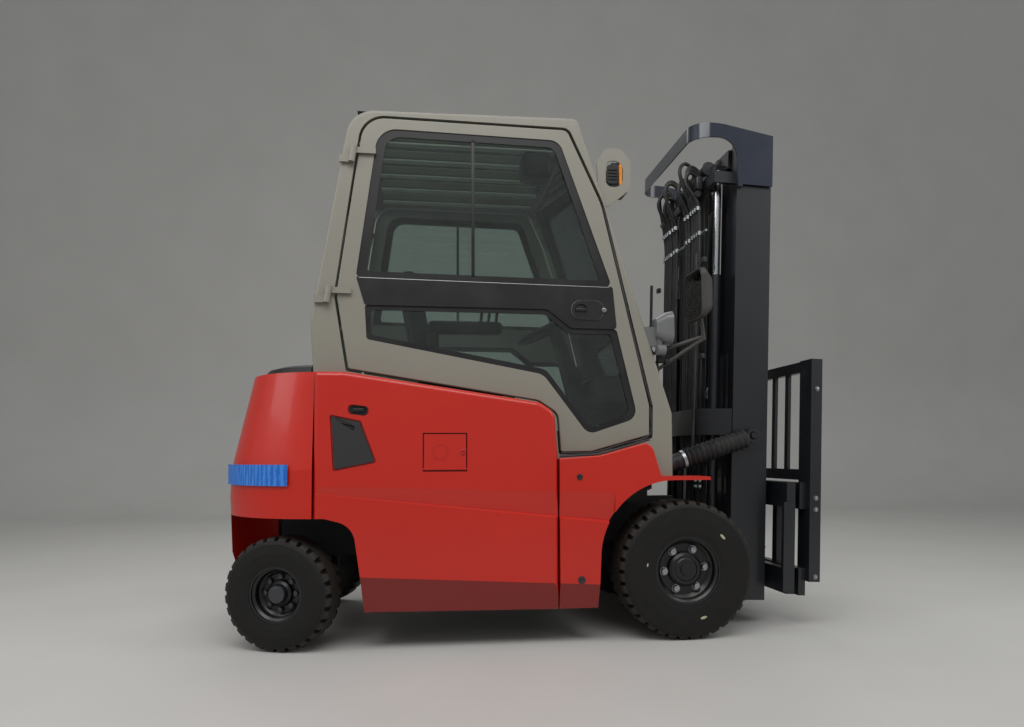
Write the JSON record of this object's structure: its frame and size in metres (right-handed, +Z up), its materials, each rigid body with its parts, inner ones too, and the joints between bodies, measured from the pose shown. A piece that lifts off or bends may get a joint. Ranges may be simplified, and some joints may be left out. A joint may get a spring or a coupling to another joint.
{
  "type": "electric counterbalance forklift",
  "caption": "Electric four-wheel counterbalance forklift with a closed cab, steered rear wheels and a three-stage mast that tilts and lifts a side-shifting carriage.",
  "frame": {"origin": "on the floor, below the middle of the overall length and on the middle plane", "axes": "+X forward to the mast, +Y to the driver's left, +Z up"},
  "size_m": [2.6428, 1.39, 2.3406],
  "materials": {
    "tyre": "matt moulded rubber",
    "rim": "satin black paint",
    "body_red": "gloss red paint",
    "cab_grey": "satin warm grey paint",
    "frame_black": "satin black paint",
    "mast_paint": "satin charcoal paint",
    "mast_steel": "greased rolled steel",
    "chrome_rod": "ground and plated",
    "grey_metal": "matt grey primer",
    "black_plastic": "fine grain",
    "dark_trim": "fine grain",
    "seat_cover": "soft black vinyl",
    "glass": "clear tinted",
    "lamp_lens": "clear coloured lens",
    "hose_rubber": "matt"
  },
  "bodies": {
    "truck": {"chassis": "frame_black", "counterweight": "body_red", "counterweight_cap": "black_plastic", "tow_pin": "grey_metal", "tail_lamps": "lamp_lens", "side_panels": "body_red", "front_panels": "body_red", "louvres": "black_plastic", "battery": "frame_black", "cab_side_r": "cab_grey", "cab_side_l": "cab_grey", "roof_frame": "cab_grey", "cab_glass": "glass", "battery_cover": "frame_black", "seat_cushion": "seat_cover", "seat_back": "seat_cover", "cab_floor": "frame_black", "steering_column": "black_plastic", "door_hinges": "cab_grey", "work_lamps": "dark_trim", "headlamps": "dark_trim", "mirrors": "black_plastic", "drive_axle": "frame_black", "steer_axle": "frame_black"},
    "charge_flap": {"charge_flap": "body_red"},
    "door_right": {"door_r": "cab_grey", "door_glass_r": "glass"},
    "door_left": {"door_l": "cab_grey", "door_glass_l": "glass"},
    "steering_wheel": {"steering_wheel": "black_plastic"},
    "knuckle_right": {"knuckle_r": "grey_metal"},
    "knuckle_left": {"knuckle_l": "grey_metal"},
    "rear_wheel_right": {"rear_tyre_r": "tyre", "rear_rim_r": "rim"},
    "rear_wheel_left": {"rear_tyre_l": "tyre", "rear_rim_l": "rim"},
    "steer_rod": {"steer_rod": "grey_metal"},
    "front_wheel_right": {"front_tyre_r": "tyre", "front_rim_r": "rim"},
    "front_wheel_left": {"front_tyre_l": "tyre", "front_rim_l": "rim"},
    "outer_stage": {"outer_mast": "mast_paint", "mast_guard": "mast_paint", "lift_cylinders": "mast_paint"},
    "middle_stage": {"middle_mast": "mast_paint", "lift_rods": "chrome_rod", "lift_chains": "mast_steel", "mast_hoses": "hose_rubber"},
    "inner_stage": {"inner_mast": "mast_paint", "free_lift_cylinder": "mast_paint"},
    "free_lift_rod": {"free_lift_rod": "chrome_rod"},
    "carriage": {"carriage": "mast_paint"},
    "side_shifter": {"side_shifter": "mast_paint", "backrest": "mast_paint"},
    "tilt_cylinder_right": {"tilt_cylinder_r": "mast_paint"},
    "tilt_cylinder_left": {"tilt_cylinder_l": "mast_paint"},
    "tilt_rod_right": {"tilt_rod_r": "hose_rubber"},
    "tilt_rod_left": {"tilt_rod_l": "hose_rubber"}
  },
  "joints": [
    {"name": "charge_flap_hinge", "type": "hinge", "parent": "truck", "child": "charge_flap", "pos_m": [-0.48043, -0.616, 0.727], "axis": [1, 0, 0], "range_deg": [0, 95]},
    {"name": "door_right_hinge", "type": "hinge", "parent": "truck", "child": "door_right", "pos_m": [-0.86743, -0.575, 1.436], "axis": [-0.1622, 0, -0.9868], "range_deg": [0, 80]},
    {"name": "door_left_hinge", "type": "hinge", "parent": "truck", "child": "door_left", "pos_m": [-0.86743, 0.575, 1.436], "axis": [0.1622, 0, 0.9868], "range_deg": [0, 80]},
    {"name": "steering_wheel_turn", "type": "hinge", "parent": "truck", "child": "steering_wheel", "pos_m": [0.17357, 0, 1.425], "axis": [-0.4226, 0, 0.9063], "continuous": true},
    {"name": "steer_right", "type": "hinge", "parent": "truck", "child": "knuckle_right", "pos_m": [-1.02143, -0.395, 0.2285], "axis": [0, 0, 1], "range_deg": [-47, 83]},
    {"name": "steer_left", "type": "hinge", "parent": "truck", "child": "knuckle_left", "pos_m": [-1.02143, 0.395, 0.2285], "axis": [0, 0, 1], "range_deg": [-47, 83]},
    {"name": "steer_rod_slide", "type": "slide", "parent": "truck", "child": "steer_rod", "axis": [0, 1, 0], "range_m": [-0.1043, 0.05906]},
    {"name": "rear_wheel_right_spin", "type": "hinge", "parent": "knuckle_right", "child": "rear_wheel_right", "pos_m": [-1.04615, -0.47108, 0.2285], "axis": [0.309, 0.9511, 0], "continuous": true},
    {"name": "rear_wheel_left_spin", "type": "hinge", "parent": "knuckle_left", "child": "rear_wheel_left", "pos_m": [-0.99671, 0.47108, 0.2285], "axis": [0.309, 0.9511, 0], "continuous": true},
    {"name": "front_wheel_right_spin", "type": "hinge", "parent": "truck", "child": "front_wheel_right", "pos_m": [0.62857, -0.5, 0.2925], "axis": [0, 1, 0], "continuous": true},
    {"name": "front_wheel_left_spin", "type": "hinge", "parent": "truck", "child": "front_wheel_left", "pos_m": [0.62857, 0.5, 0.2925], "axis": [0, 1, 0], "continuous": true},
    {"name": "mast_tilt", "type": "hinge", "parent": "truck", "child": "outer_stage", "pos_m": [0.62857, 0, 0.2925], "axis": [0, 1, 0], "range_deg": [-8.2, 3.8]},
    {"name": "middle_lift", "type": "slide", "parent": "outer_stage", "child": "middle_stage", "axis": [0.0384, 0, 0.9993], "range_m": [0, 1.35]},
    {"name": "inner_lift", "type": "slide", "parent": "middle_stage", "child": "inner_stage", "axis": [0.0384, 0, 0.9993], "range_m": [0, 1.35]},
    {"name": "free_lift", "type": "slide", "parent": "inner_stage", "child": "free_lift_rod", "axis": [0.0384, 0, 0.9993], "range_m": [0, 0.725]},
    {"name": "carriage_lift", "type": "slide", "parent": "inner_stage", "child": "carriage", "axis": [0.0384, 0, 0.9993], "range_m": [0, 1.45]},
    {"name": "side_shift", "type": "slide", "parent": "carriage", "child": "side_shifter", "axis": [0, 1, 0], "range_m": [-0.1, 0.1]},
    {"name": "tilt_cylinder_right_swing", "type": "hinge", "parent": "truck", "child": "tilt_cylinder_right", "pos_m": [0.49057, -0.405, 0.695], "axis": [0, 1, 0], "range_deg": [-8.32, 3.86]},
    {"name": "tilt_cylinder_left_swing", "type": "hinge", "parent": "truck", "child": "tilt_cylinder_left", "pos_m": [0.49057, 0.405, 0.695], "axis": [0, 1, 0], "range_deg": [-8.32, 3.86]},
    {"name": "tilt_rod_right_slide", "type": "slide", "parent": "tilt_cylinder_right", "child": "tilt_rod_right", "axis": [0.9508, 0, 0.3097], "range_m": [-0.06075, 0.02815]},
    {"name": "tilt_rod_left_slide", "type": "slide", "parent": "tilt_cylinder_left", "child": "tilt_rod_left", "axis": [0.9508, 0, 0.3097], "range_m": [-0.06075, 0.02815]}
  ],
  "couplings": [
    {"joint": "steer_left", "follows": "steer_right", "ratio": 1},
    {"joint": "steer_rod_slide", "follows": "steer_right", "m_per_rad": -0.072},
    {"joint": "inner_lift", "follows": "middle_lift", "ratio": 1},
    {"joint": "free_lift", "follows": "carriage_lift", "ratio": 0.5},
    {"joint": "tilt_cylinder_right_swing", "follows": "mast_tilt", "ratio": 1.015},
    {"joint": "tilt_cylinder_left_swing", "follows": "mast_tilt", "ratio": 1.015},
    {"joint": "tilt_rod_right_slide", "follows": "mast_tilt", "m_per_rad": 0.4245},
    {"joint": "tilt_rod_left_slide", "follows": "mast_tilt", "m_per_rad": 0.4245}
  ]
}
